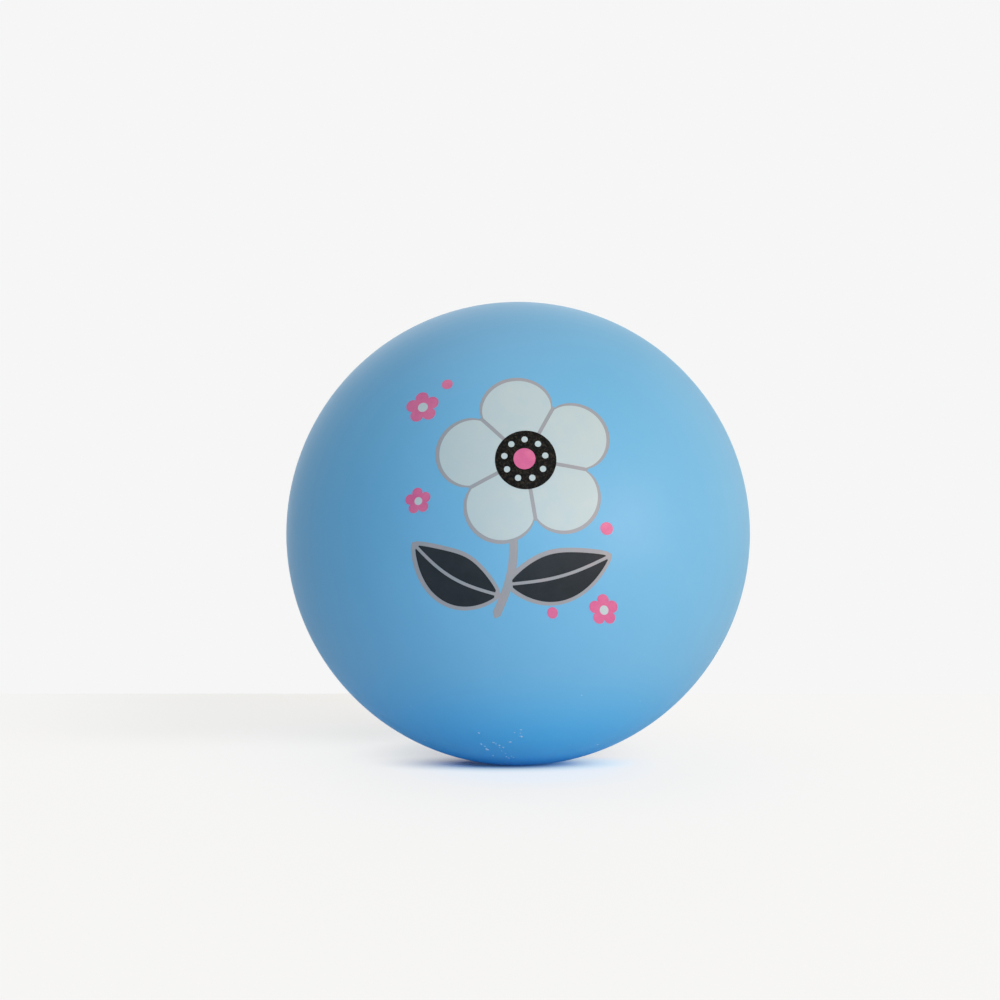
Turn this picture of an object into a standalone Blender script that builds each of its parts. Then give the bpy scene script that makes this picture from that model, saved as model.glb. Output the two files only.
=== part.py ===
"""An inflatable play ball of soft vinyl, with its inflation valve.

The origin is the ball's centre and +Z is up. The valve's axis is +Y, on the back of the ball, and every piece is
turned about it. Lengths are in metres.
"""

import math

import bmesh
import bpy

# The ball
BALL_DIAMETER = 0.150
SKIN_WALL = 0.0010

# The boss: a thicker pad on the inside of the skin, which holds the valve seat
BOSS_HEIGHT = 0.0026
BOSS_MARGIN = 0.0042
BOSS_EDGE_ROUND = 0.0012
FLANGE_THICKNESS = 0.0016
FLANGE_WIDTH = 0.0026

# The valve seat: a soft sleeve, with its flange outside the boss and its lip inside
BORE_DIAMETER = 0.0052
NECK_WALL = 0.0015
LIP_WIDTH = 0.0018
LIP_THICKNESS = 0.0016
TUBE_WALL = 0.0014
TUBE_LENGTH = 0.0065
TUBE_TIP_WALL = 0.0007
TUBE_TIP_LENGTH = 0.0024

# The plug: a round head, which sits in a recess of the seat, and a barbed stem
HEAD_DIAMETER = 0.0082
HEAD_THICKNESS = 0.0012
HEAD_CROWN = 0.0003
HEAD_UNDERCUT = 0.0005
GATE_DIMPLE_DIAMETER = 0.0017
GATE_DIMPLE_DEPTH = 0.00025
PLUG_LENGTH = 0.0160
BARB_HEIGHT = 0.00035
BARB_LENGTH = 0.0022
BARB_COUNT = 3
TIP_DIAMETER = 0.0022
TIP_LENGTH = 0.0022

# Clearances and small edges
FIT_GAP = 0.0003
SLIDE_GAP = 0.0002
EDGE_ROUND = 0.0003

# Facets
BALL_SEGMENTS = 64
HALF_BALL_ROWS = 15
VALVE_SEGMENTS = 48
EDGE_STEPS = 3
SHARP_ANGLE = math.radians(32)
SAME_POINT = 1e-7

# Radii that follow from the sizes above
ball_radius = BALL_DIAMETER / 2
hollow_radius = ball_radius - SKIN_WALL
bore_radius = BORE_DIAMETER / 2
head_radius = HEAD_DIAMETER / 2
recess_radius = head_radius + SLIDE_GAP
neck_radius = max(recess_radius, bore_radius) + NECK_WALL
flange_radius = neck_radius + FLANGE_WIDTH
pocket_radius = flange_radius + FIT_GAP
hole_radius = neck_radius + FIT_GAP
boss_radius = pocket_radius + BOSS_MARGIN
lip_radius = neck_radius + LIP_WIDTH
tube_radius = bore_radius + TUBE_WALL
barb_radius = bore_radius - SLIDE_GAP
stem_radius = barb_radius - BARB_HEIGHT


def height_on_sphere(sphere_radius, radius):
    """How far along the valve's axis a sphere reaches at this distance from the axis."""
    return math.sqrt(sphere_radius**2 - radius**2)


# Levels along the valve's axis, from the outside in
mouth_radius = pocket_radius + EDGE_ROUND
face_level = height_on_sphere(ball_radius, mouth_radius)
pocket_floor = face_level - FLANGE_THICKNESS - FIT_GAP
boss_top = height_on_sphere(hollow_radius, boss_radius)
boss_level = boss_top - BOSS_HEIGHT
lip_level = boss_level - FIT_GAP
tube_top = lip_level - LIP_THICKNESS
tube_end = tube_top - TUBE_LENGTH
head_level = face_level - HEAD_CROWN
head_under = head_level - HEAD_THICKNESS
recess_floor = head_under - SLIDE_GAP
plug_end = head_level - PLUG_LENGTH


def arc(centre, radius, start, end, steps):
    """Points (distance from the axis, level along it) on an arc, from angle start to angle end in radians."""
    points = []
    for step in range(steps + 1):
        angle = start + (end - start) * step / steps
        points.append((centre[0] + radius * math.cos(angle), centre[1] + radius * math.sin(angle)))
    return points


def ball_arc(radius, end):
    """A sphere's profile from its front pole, with a point at its full width, to angle end on the valve's side."""
    front_half = arc((0, 0), radius, -math.pi / 2, 0, HALF_BALL_ROWS)
    front_half[0] = (0, -radius)
    return front_half + arc((0, 0), radius, 0, end, HALF_BALL_ROWS)[1:]


def vinyl(name, colour, roughness):
    material = bpy.data.materials.new(name)
    material.use_nodes = True
    shader = material.node_tree.nodes["Principled BSDF"]
    shader.inputs["Base Color"].default_value = (*colour, 1)
    shader.inputs["Roughness"].default_value = roughness
    shader.inputs["Metallic"].default_value = 0
    material.diffuse_color = (*colour, 1)
    return material


def turned(name, profile, segments, material):
    """A solid of revolution about the valve's axis. A profile that starts and ends on the axis is left open there."""
    mesh = bpy.data.meshes.new(name)
    bm = bmesh.new()
    verts = [bm.verts.new((radius, level, 0)) for radius, level in profile]
    edges = [bm.edges.new(pair) for pair in zip(verts, verts[1:])]
    if profile[0][0] > 0 or profile[-1][0] > 0:
        edges.append(bm.edges.new((verts[-1], verts[0])))
    bmesh.ops.spin(
        bm,
        geom=verts + edges,
        axis=(0, 1, 0),
        cent=(0, 0, 0),
        angle=2 * math.pi,
        steps=segments,
        use_merge=True,
    )
    bmesh.ops.remove_doubles(bm, verts=bm.verts, dist=SAME_POINT)
    bmesh.ops.recalc_face_normals(bm, faces=bm.faces)
    bm.to_mesh(mesh)
    bm.free()
    mesh.shade_smooth()
    mesh.set_sharp_from_angle(angle=SHARP_ANGLE)
    mesh.materials.append(material)
    piece = bpy.data.objects.new(name, mesh)
    bpy.context.scene.collection.objects.link(piece)
    return piece


def skin_profile():
    """Out along the ball from its front, in at the valve's pocket and hole, round the boss and back inside."""
    outside = ball_arc(ball_radius, math.acos(mouth_radius / ball_radius))
    pocket = [
        (pocket_radius, face_level - EDGE_ROUND),
        (pocket_radius, pocket_floor),
        (hole_radius, pocket_floor),
        (hole_radius, boss_level),
    ]
    round_off = min(BOSS_EDGE_ROUND, 0.8 * BOSS_HEIGHT)
    boss_edge = arc(
        (boss_radius - round_off, boss_level + round_off),
        round_off,
        -math.pi / 2,
        0,
        EDGE_STEPS,
    )
    inside = ball_arc(hollow_radius, math.acos(boss_radius / hollow_radius))
    return outside + pocket + boss_edge + inside[::-1]


def seat_profile():
    """A flat ring outside, the flange, the neck through the boss, the snap-in lip, the tube, and back up the bore."""
    tip_radius = bore_radius + min(TUBE_TIP_WALL, TUBE_WALL)
    tip_length = min(TUBE_TIP_LENGTH, 0.9 * TUBE_LENGTH)
    flange_edge = arc(
        (flange_radius - EDGE_ROUND, face_level - EDGE_ROUND),
        EDGE_ROUND,
        math.pi / 2,
        0,
        EDGE_STEPS,
    )
    outside = [
        (flange_radius, face_level - FLANGE_THICKNESS),
        (neck_radius, face_level - FLANGE_THICKNESS),
        (neck_radius, lip_level),
        (lip_radius, lip_level),
        (lip_radius, lip_level - 0.3 * LIP_THICKNESS),
        (tube_radius, tube_top),
        (tube_radius, tube_end + tip_length),
        (tip_radius, tube_end),
    ]
    inside = [
        (bore_radius, tube_end),
        (bore_radius, recess_floor),
        (recess_radius, recess_floor),
        (recess_radius, face_level - EDGE_ROUND),
        (recess_radius + EDGE_ROUND, face_level),
    ]
    return flange_edge + outside + inside


def plug_profile():
    """The dimpled, slightly domed head, then the stem with its barbs, which slope towards the tip."""
    dimple_radius = GATE_DIMPLE_DIAMETER / 2
    dome_radius = (head_radius**2 + HEAD_CROWN**2) / (2 * HEAD_CROWN)
    dome_centre = head_level + HEAD_CROWN - dome_radius
    dimple_angle = math.acos(dimple_radius / dome_radius)
    edge_angle = math.acos((head_radius - EDGE_ROUND) / dome_radius)
    dome = arc((0, dome_centre), dome_radius, dimple_angle, edge_angle, EDGE_STEPS)
    undercut = min(HEAD_UNDERCUT, 0.5 * HEAD_THICKNESS)
    points = [(0, dome[0][1] - GATE_DIMPLE_DEPTH), (0.6 * dimple_radius, dome[0][1] - GATE_DIMPLE_DEPTH)]
    points += dome
    points += [
        (head_radius, head_level - EDGE_ROUND),
        (head_radius, head_under + undercut),
        (head_radius - undercut, head_under),
        (stem_radius, head_under),
    ]
    tip_start = plug_end + TIP_LENGTH
    pitch = (head_under - tip_start) / BARB_COUNT
    length = min(BARB_LENGTH, 0.9 * pitch)
    for number in range(BARB_COUNT):
        shoulder = tip_start + length + (BARB_COUNT - 1 - number) * pitch
        points += [
            (stem_radius, shoulder),
            (barb_radius, shoulder - 0.25 * length),
            (barb_radius, shoulder - 0.4 * length),
            (stem_radius, shoulder - length),
        ]
    tip_radius = min(TIP_DIAMETER / 2, stem_radius)
    points += [(tip_radius, plug_end), (0, plug_end)]
    return points


def clear_scene():
    for item in list(bpy.data.objects):
        bpy.data.objects.remove(item, do_unlink=True)


def build_skin():
    colour = vinyl("skin_vinyl", (0.13, 0.42, 0.72), 0.55)
    return turned("skin", skin_profile(), BALL_SEGMENTS, colour)


def build_valve_seat():
    colour = vinyl("seat_vinyl", (0.10, 0.35, 0.64), 0.5)
    return turned("valve_seat", seat_profile(), VALVE_SEGMENTS, colour)


def build_valve_plug():
    colour = vinyl("plug_plastic", (0.86, 0.86, 0.83), 0.4)
    return turned("valve_plug", plug_profile(), VALVE_SEGMENTS, colour)


clear_scene()
build_skin()
build_valve_seat()
build_valve_plug()
bpy.context.view_layer.update()
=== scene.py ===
# %% [markdown]
# # A printed play ball
# The real thing is a hollow skin of soft blue vinyl, blown up through a small valve at the back and printed
# on the front. This lesson loads its packed solids as a fixed frame and gives them their looks: a smooth
# skin, a finely turned valve, a print of thin ink films, a little dust, and the white table that it was
# photographed on.

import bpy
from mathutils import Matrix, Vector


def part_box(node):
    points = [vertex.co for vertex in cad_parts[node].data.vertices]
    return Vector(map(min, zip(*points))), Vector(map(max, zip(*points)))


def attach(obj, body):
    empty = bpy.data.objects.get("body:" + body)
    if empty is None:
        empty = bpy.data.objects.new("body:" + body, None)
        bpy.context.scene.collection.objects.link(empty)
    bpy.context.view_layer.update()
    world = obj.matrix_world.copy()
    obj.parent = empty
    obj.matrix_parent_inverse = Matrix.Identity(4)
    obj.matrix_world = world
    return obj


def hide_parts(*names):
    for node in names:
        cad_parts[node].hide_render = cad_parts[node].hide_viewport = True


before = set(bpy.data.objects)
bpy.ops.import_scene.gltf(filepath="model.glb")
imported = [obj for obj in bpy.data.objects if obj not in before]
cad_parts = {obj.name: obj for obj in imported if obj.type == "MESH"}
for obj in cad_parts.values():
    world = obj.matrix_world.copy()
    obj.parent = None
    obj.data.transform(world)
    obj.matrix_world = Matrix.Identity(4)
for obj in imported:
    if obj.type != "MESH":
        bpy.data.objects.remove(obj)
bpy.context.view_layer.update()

# %% Modules and units
import math
import random

import bpy
from mathutils import Matrix, Vector

MM = 0.001
scene = bpy.context.scene
scene.view_settings.view_transform = "Standard"
print("lengths are in metres, and a millimetre is", MM)

# %% [markdown]
# ## Measures
# Everything is worked out from the frame where the frame has it: the ball's radius, how far the valve's seat
# and plug reach, and where the flat face of the valve lies. What the boxes can't tell, such as the bore, is
# named here.

# %% Measure the frame
seat_low, seat_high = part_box("valve_seat")
plug_low, plug_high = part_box("valve_plug")
ball_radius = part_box("skin")[1].x
face_level = seat_high.y
flange_radius = seat_high.x
tube_end = seat_low.y
head_radius = plug_high.x
plug_end = plug_low.y
print(f"ball radius {ball_radius / MM:.2f} mm, valve face at {face_level / MM:.2f} mm")

# %% Sizes that the boxes don't give
INK_BUILD = 0.06 * MM
SKIN_WALL = 1.0 * MM
FLANGE_THICKNESS = 1.6 * MM
FLANGE_WIDTH = 2.6 * MM
BOSS_HEIGHT = 2.6 * MM
BOSS_MARGIN = 4.2 * MM
BORE_RADIUS = 2.6 * MM
EDGE_ROUND = 0.3 * MM
HEAD_THICKNESS = 1.2 * MM
HEAD_CROWN = 0.3 * MM
SLIDE_GAP = 0.2 * MM
SEAM = 0.06 * MM

# The skin's own radius leaves room for the ink, so that the printed ball is no bigger than the solid.
skin_radius = ball_radius - INK_BUILD
print(f"skin radius {skin_radius / MM:.2f} mm")

# %% [markdown]
# ## The camera
# The photograph was taken from a little above the table. A long lens keeps the ball round. The distance
# follows from the ball's width in the picture, and the aim from where its centre lies there.

# %% Place the camera
PICTURE_SIZE = 1000
BALL_CENTRE_PX = (518.0, 533.5)
BALL_RADIUS_PX = 231.85
LENS = 100.0
SENSOR = 36.0
NEAREST_SEEN = 0.01
CAMERA_ELEVATION = math.radians(5.0)

focal_px = LENS / SENSOR * PICTURE_SIZE
camera_distance = math.hypot(focal_px * skin_radius / BALL_RADIUS_PX, skin_radius)
camera_back = Vector((0, -math.cos(CAMERA_ELEVATION), math.sin(CAMERA_ELEVATION)))
camera_right = Vector((1, 0, 0))
camera_up = camera_right.cross(-camera_back)
metres_per_px = camera_distance / focal_px
aim = camera_right * (PICTURE_SIZE / 2 - BALL_CENTRE_PX[0]) * metres_per_px
aim += camera_up * (BALL_CENTRE_PX[1] - PICTURE_SIZE / 2) * metres_per_px

camera_data = bpy.data.cameras.new("camera")
camera_data.lens = LENS
camera_data.sensor_width = SENSOR
camera_data.clip_start = NEAREST_SEEN
camera = bpy.data.objects.new("camera", camera_data)
camera.location = aim + camera_back * camera_distance
camera.rotation_euler = camera_back.to_track_quat("Z", "Y").to_euler()
scene.collection.objects.link(camera)
scene.camera = camera
print(f"camera {camera_distance:.3f} m away, 1 px is {metres_per_px / MM:.4f} mm")

# %% [markdown]
# ## Modelling by hand
# Each piece starts as a primitive in an empty selection and is shaped in edit mode. These helpers start a
# piece, join copies, finish a piece, and turn a profile round the valve's axis, as one does with Spin.

# %% Select, join and finish
SHARP_ANGLE = math.radians(35)


def active():
    return bpy.context.view_layer.objects.active


def deselect():
    if bpy.context.mode != "OBJECT":
        bpy.ops.object.mode_set(mode="OBJECT")
    bpy.ops.object.select_all(action="DESELECT")


def joined(pieces):
    """All of the pieces as one."""
    deselect()
    for piece in pieces:
        piece.select_set(True)
    bpy.context.view_layer.objects.active = pieces[0]
    if len(pieces) > 1:
        bpy.ops.object.join()
    return active()


def finish_piece(piece, name, body, material):
    """Puts the piece's place into its mesh, names it, shades it and gives it to its body."""
    deselect()
    piece.select_set(True)
    bpy.context.view_layer.objects.active = piece
    bpy.ops.object.transform_apply(location=True, rotation=True, scale=True)
    bpy.ops.object.shade_smooth_by_angle(angle=SHARP_ANGLE)
    piece.name = name
    piece.data.name = name
    piece.data.materials.clear()
    piece.data.materials.append(material)
    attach(piece, body)
    print(f"{name}: {len(piece.data.vertices)} points, {len(piece.data.polygons)} faces")


print("edges sharper than", round(math.degrees(SHARP_ANGLE)), "degrees stay sharp")

# %% Turn a profile
SAME_POINT = 1e-7
NO_LENGTH = 1e-8


def arc(centre, radius, start, end, steps):
    """Points (distance from the axis, level) on an arc between two angles in radians."""
    turn = (end - start) / steps
    angles = [start + turn * step for step in range(steps + 1)]
    return [(centre[0] + radius * math.cos(a), centre[1] + radius * math.sin(a)) for a in angles]


def turned(profile, steps):
    """A closed profile of (distance from the axis, level) points, spun once round the valve's axis."""
    deselect()
    bpy.ops.mesh.primitive_circle_add(vertices=len(profile), radius=1, fill_type="NOTHING")
    piece = active()
    for vertex, (radius, level) in zip(piece.data.vertices, profile):
        vertex.co = (radius, level, 0)
    bpy.ops.object.mode_set(mode="EDIT")
    bpy.ops.mesh.select_all(action="SELECT")
    bpy.ops.mesh.spin(steps=steps, angle=2 * math.pi, center=(0, 0, 0), axis=(0, 1, 0))
    bpy.ops.mesh.select_all(action="SELECT")
    bpy.ops.mesh.remove_doubles(threshold=SAME_POINT)
    bpy.ops.mesh.dissolve_degenerate(threshold=NO_LENGTH)
    bpy.ops.mesh.delete_loose(use_verts=True, use_edges=True, use_faces=False)
    bpy.ops.mesh.select_all(action="SELECT")
    bpy.ops.mesh.normals_make_consistent(inside=False)
    bpy.ops.object.mode_set(mode="OBJECT")
    return piece


print("a quarter arc of radius 1:", arc((0, 0), 1, 0, math.pi / 2, 2))

# %% [markdown]
# ## Shader maths
# A material is easier to read as a sum than as a web of nodes. This small class wraps a socket, so that
# `1 - mask` or `grain * 0.2` adds the Math nodes by itself. Every other node comes from one method of the
# tree.

# %% Sockets that can be added and multiplied
class Socket:
    def __init__(self, recipe, output):
        self.recipe = recipe
        self.output = output

    def maths(self, operation, *values):
        return self.recipe.node("ShaderNodeMath", {"operation": operation}, dict(enumerate(values)))

    def __add__(self, other):
        return self.maths("ADD", self, other)

    __radd__ = __add__

    def __sub__(self, other):
        return self.maths("SUBTRACT", self, other)

    def __rsub__(self, other):
        return self.maths("SUBTRACT", other, self)

    def __mul__(self, other):
        return self.maths("MULTIPLY", self, other)

    __rmul__ = __mul__

    def __truediv__(self, other):
        return self.maths("DIVIDE", self, other)

    def __pow__(self, other):
        return self.maths("POWER", self, other)


print("a number may stand on the left of:", [name for name in vars(Socket) if name.startswith("__r")])

# %% A tree whose nodes come from one method
class Tree:
    """A node tree under construction."""

    def __init__(self, owner):
        owner.use_nodes = True
        self.tree = owner.node_tree

    def node(self, kind, settings=None, values=None, out=0):
        """A node of this kind, with its settings made first and then its sockets fed."""
        made = self.tree.nodes.new(kind)
        for key, setting in (settings or {}).items():
            if key == "stops":
                self.set_stops(made.color_ramp, setting)
            else:
                setattr(made, key, setting)
        for key, value in (values or {}).items():
            self.feed(made.inputs[key], value)
        return Socket(self, made.outputs[out]) if made.outputs else None

    def set_stops(self, ramp, stops):
        while len(ramp.elements) < len(stops):
            ramp.elements.new(0.5)
        for element, (position, level) in zip(ramp.elements, stops):
            element.position = position
            element.color = (level, level, level, 1)

    def feed(self, socket, value):
        if isinstance(value, Socket):
            self.tree.links.new(value.output, socket)
        else:
            socket.default_value = value


print("tree ready")

# %% A material's recipe
class Recipe(Tree):
    """A material, with its Principled shader ready."""

    def __init__(self, name):
        self.material = bpy.data.materials.new(name)
        super().__init__(self.material)
        self.shader = self.tree.nodes["Principled BSDF"]
        self.place = self.node("ShaderNodeTexCoord", out="Object")

    def noise(self, size, detail=2.0, roughness=0.5, distortion=0.0):
        """Noise from 0 to 1, whose lumps are about this size in metres."""
        values = {"Vector": self.place, "Scale": 1 / size, "Detail": detail}
        values |= {"Roughness": roughness, "Distortion": distortion}
        return self.node("ShaderNodeTexNoise", {"noise_dimensions": "3D"}, values)

    def rise(self, value, low, high):
        """A straight rise from 0 at low to 1 at high."""
        return self.node("ShaderNodeValToRGB", {"stops": ((low, 0.0), (high, 1.0))}, {"Fac": value})

    def step(self, value, low, high):
        """A smooth step from 0 at low to 1 at high."""
        settings = {"interpolation_type": "SMOOTHSTEP", "clamp": True}
        values = {"Value": value, "From Min": low, "From Max": high}
        return self.node("ShaderNodeMapRange", settings, values)

    def mix(self, mask, first, second):
        """The first colour where the mask is 0, and the second where it is 1."""
        return self.node("ShaderNodeMix", {"data_type": "RGBA"}, {0: mask, 6: first, 7: second}, out=2)

    def bump(self, height, depth, under=None):
        """A bump whose full height is this depth in metres, on top of another if one is given."""
        values = {"Height": height, "Distance": depth, "Strength": 1.0}
        if under is not None:
            values["Normal"] = under
        return self.node("ShaderNodeBump", None, values)

    def coordinate(self, axis):
        return self.node("ShaderNodeSeparateXYZ", None, {"Vector": self.place}, out=axis)

    def set(self, **values):
        """Feeds the shader's sockets, each named with underscores for its spaces."""
        for key, value in values.items():
            self.feed(self.shader.inputs[key.replace("_", " ")], value)


def srgb(red, green, blue):
    """A colour as it is read in the photograph, 0 to 255, in the linear numbers that a shader takes."""
    levels = [level / 255 for level in (red, green, blue)]
    linear = [x / 12.92 if x <= 0.04045 else ((x + 0.055) / 1.055) ** 2.4 for x in levels]
    return (*linear, 1.0)


print("middle grey, 128 of 255, is", round(srgb(128, 128, 128)[0], 3), "in a shader")

# %% [markdown]
# ## The skin's finish
# Soft vinyl is satin matt. Seen close it has a fine pebble from the mould, the pigment is a touch uneven,
# and the blown skin waves very slightly, because its wall isn't the same everywhere. Handling has polished
# some places and dulled others, and near the floor it has picked up fine scuffs. Each of these is a noise at
# its own scale. Towards the floor the blue is painted deeper and purer, a painted reflection of the ball's
# own blue thrown back by the table, and at the very bottom it is painted navy, a painted shade.

# %% Blue vinyl
VINYL_BLUE = (0.128, 0.374, 0.606, 1.0)
VINYL_DEEP = (0.112, 0.352, 0.588, 1.0)
VINYL_WORN = (0.175, 0.410, 0.625, 1.0)
# Towards the floor the colour is painted light: a painted reflection of the blue, then a navy painted shade.
VINYL_PAINTED_BOUNCE = (0.012, 0.385, 0.800, 1.0)
VINYL_PAINTED_BOUNCE_LOW = (0.000, 0.380, 0.820, 1.0)
VINYL_PAINTED_SHADE = (0.000, 0.175, 0.560, 1.0)
# Each change near the floor is full at its first height from the ball's centre, and ends at its second.
PAINTED_BOUNCE_HEIGHTS = (-0.082, -0.030)
PAINTED_BOUNCE_LOW_HEIGHTS = (-0.0725, -0.0635)
PAINTED_SHADE_HEIGHTS = (-0.0745, -0.066)
SCUFF_HEIGHTS = (-0.072, -0.045)
SKIN_GRAIN = 0.55 * MM
SKIN_SCUFF = 1.1 * MM
SKIN_MOTTLE = 2.4 * MM
SKIN_HANDLED = 11 * MM
SKIN_WAVE = 17 * MM
SKIN_CLOUD = 26 * MM
SKIN_GRAIN_DEPTH = 0.006 * MM
SKIN_WAVE_DEPTH = 0.05 * MM
SKIN_ROUGHNESS = 0.47
SKIN_GLOSS = 0.28
# Between these levels of their noise, handling and scuffs rise from none to full.
HANDLED_LEVELS = (0.45, 0.75)
SCUFF_LEVELS = (0.56, 0.72)


def low_down(recipe, heights):
    """1 at the first height and under it, 0 from the second up."""
    return 1 - recipe.step(recipe.coordinate("Z"), *heights)


def skin_vinyl():
    recipe = Recipe("skin_vinyl")
    cloud = recipe.noise(SKIN_CLOUD, detail=3)
    mottle = recipe.noise(SKIN_MOTTLE, detail=4, roughness=0.6)
    grain = recipe.noise(SKIN_GRAIN, detail=2)
    handled = recipe.noise(SKIN_HANDLED, detail=5, roughness=0.65)
    handled = recipe.rise(handled, *HANDLED_LEVELS)
    scuff = recipe.noise(SKIN_SCUFF, detail=6, roughness=0.7, distortion=0.6)
    scuff = recipe.rise(scuff, *SCUFF_LEVELS)
    # Near the floor the colour holds painted light: under is the painted reflection, the lowest band painted
    # shade.
    under = low_down(recipe, PAINTED_BOUNCE_HEIGHTS)
    painted_shade_band = low_down(recipe, PAINTED_SHADE_HEIGHTS)
    worn = handled * 0.10 + scuff * (0.06 + low_down(recipe, SCUFF_HEIGHTS) * 0.14)
    blue = recipe.mix(cloud * 0.7 + mottle * 0.4, VINYL_DEEP, VINYL_BLUE)
    blue = recipe.mix(worn, blue, VINYL_WORN)
    blue = recipe.mix(under * 0.9, blue, VINYL_PAINTED_BOUNCE)
    blue = recipe.mix(low_down(recipe, PAINTED_BOUNCE_LOW_HEIGHTS), blue, VINYL_PAINTED_BOUNCE_LOW)
    roughness = SKIN_ROUGHNESS + mottle * 0.05 + handled * 0.03 - cloud * 0.02 + scuff * 0.04
    wave = recipe.bump(recipe.noise(SKIN_WAVE, detail=1), SKIN_WAVE_DEPTH)
    recipe.set(
        Base_Color=recipe.mix(painted_shade_band, blue, VINYL_PAINTED_SHADE),
        Roughness=roughness - under * 0.15 + painted_shade_band * 0.5,
        Normal=recipe.bump(grain + mottle * 0.4, SKIN_GRAIN_DEPTH, under=wave),
        Specular_IOR_Level=SKIN_GLOSS,
    )
    return recipe.material


skin_material = skin_vinyl()
print("skin finish:", len(skin_material.node_tree.nodes), "nodes")

# %% [markdown]
# ## The skin
# The solid skin has flat facets, which a shiny curve would show. So the same profile is turned again with
# many more steps: out round the ball, in at the valve's pocket and hole, over the boss that carries the
# valve, and back round the inside. Where the two halves of the mould met, a hairline ridge runs round the
# ball.

# %% Turn the skin
SKIN_STEPS = 256
SKIN_ROWS = 64
LIP_STEPS = 4
BOSS_STEPS = 6
BOSS_ROUND = 1.2 * MM
MOULD_LINE_WIDTH = 0.5 * MM
MOULD_LINE_HEIGHT = 0.03 * MM

pocket_radius = flange_radius + EDGE_ROUND
mouth_radius = pocket_radius + EDGE_ROUND
neck_radius = flange_radius - FLANGE_WIDTH
hole_radius = neck_radius + EDGE_ROUND
boss_radius = pocket_radius + BOSS_MARGIN
hollow_radius = ball_radius - SKIN_WALL
pocket_floor = face_level - FLANGE_THICKNESS - EDGE_ROUND
boss_level = math.sqrt(hollow_radius**2 - boss_radius**2) - BOSS_HEIGHT


def skin_profile():
    line_angle = MOULD_LINE_WIDTH / 2 / skin_radius
    mouth_angle = math.acos(mouth_radius / skin_radius)
    # A narrow row on each side of the ridge keeps its shading from spreading over the wide rows.
    front = arc((0, 0), skin_radius, -math.pi / 2, -2 * line_angle, SKIN_ROWS)
    back = arc((0, 0), skin_radius, 2 * line_angle, mouth_angle, SKIN_ROWS)
    line = arc((0, 0), skin_radius, -line_angle, line_angle, 1)
    line.insert(1, (skin_radius + MOULD_LINE_HEIGHT, 0))
    lip_centre = (pocket_radius + EDGE_ROUND, back[-1][1] - EDGE_ROUND)
    lip = arc(lip_centre, EDGE_ROUND, math.pi / 2, math.pi, LIP_STEPS)
    pocket = [(pocket_radius, pocket_floor), (hole_radius, pocket_floor), (hole_radius, boss_level)]
    boss_centre = (boss_radius - BOSS_ROUND, boss_level + BOSS_ROUND)
    boss = arc(boss_centre, BOSS_ROUND, -math.pi / 2, 0, BOSS_STEPS)
    inner_angle = math.acos(boss_radius / hollow_radius)
    inner = arc((0, 0), hollow_radius, inner_angle, -math.pi / 2, SKIN_ROWS // 2)
    return front + line + back[:-1] + lip + pocket + boss + inner


skin = turned(skin_profile(), SKIN_STEPS)
finish_piece(skin, "ball_skin", "ball", skin_material)
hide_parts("skin")

# %% [markdown]
# ## The valve
# The seat is moulded from the same vinyl, a shade deeper, and bonded into its pocket, so only a hairline
# shows between them. The plug is a harder white plastic. Its head lies in a recess, with a dimple left by
# the mould's gate, and its stem has three barbs that grip the bore. Both finishes are darker in rings at
# the seam, round the recess and round the plug's rim.

# %% Valve finishes
SEAT_BLUE = (0.070, 0.285, 0.500, 1.0)
SEAT_DARKER = (0.045, 0.130, 0.200, 1.0)
SEAT_GRAIN = 0.45 * MM
SEAT_MOTTLE = 1.6 * MM
SEAT_GRAIN_DEPTH = 0.008 * MM
SEAT_ROUGHNESS = 0.40
SEAT_IOR = 1.53
SEAM_DARK_WIDTH = 0.9 * MM
RECESS_DARK_WIDTH = 0.8 * MM
PLUG_WHITE = (0.800, 0.800, 0.765, 1.0)
PLUG_DARKER = (0.430, 0.410, 0.370, 1.0)
PLUG_SCRATCH = 0.5 * MM
SCRATCH_LEVELS = (0.60, 0.68)
PLUG_MOTTLE = 1.2 * MM
PLUG_GRAIN_DEPTH = 0.006 * MM
PLUG_ROUGHNESS = 0.34
PLUG_IOR = 1.50
RIM_DARK_WIDTH = 0.7 * MM


def distance_from_axis(recipe):
    across = recipe.coordinate("X")
    upward = recipe.coordinate("Z")
    return (across * across + upward * upward) ** 0.5


def ring_mask(recipe, distance, radius, width):
    """1 on a ring round the valve's axis, and 0 further than the width from it."""
    away = distance - radius
    return 1 - recipe.step(away.maths("ABSOLUTE", away), 0.0, width)


def seat_vinyl():
    recipe = Recipe("seat_vinyl")
    distance = distance_from_axis(recipe)
    mottle = recipe.noise(SEAT_MOTTLE, detail=4, roughness=0.6)
    grain = recipe.noise(SEAT_GRAIN, detail=2)
    seams = ring_mask(recipe, distance, flange_radius, SEAM_DARK_WIDTH)
    recess = ring_mask(recipe, distance, head_radius + SLIDE_GAP, RECESS_DARK_WIDTH)
    # Darker rings at the seam and round the recess.
    darkening = (seams + recess) * (0.25 + mottle * 0.7)
    shade = recipe.mix(mottle * 0.4, SEAT_BLUE, VINYL_BLUE)
    recipe.set(
        Base_Color=recipe.mix(darkening, shade, SEAT_DARKER),
        Roughness=SEAT_ROUGHNESS + mottle * 0.10 + darkening * 0.15,
        Normal=recipe.bump(grain + mottle * 0.6, SEAT_GRAIN_DEPTH),
        IOR=SEAT_IOR,
    )
    return recipe.material


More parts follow.
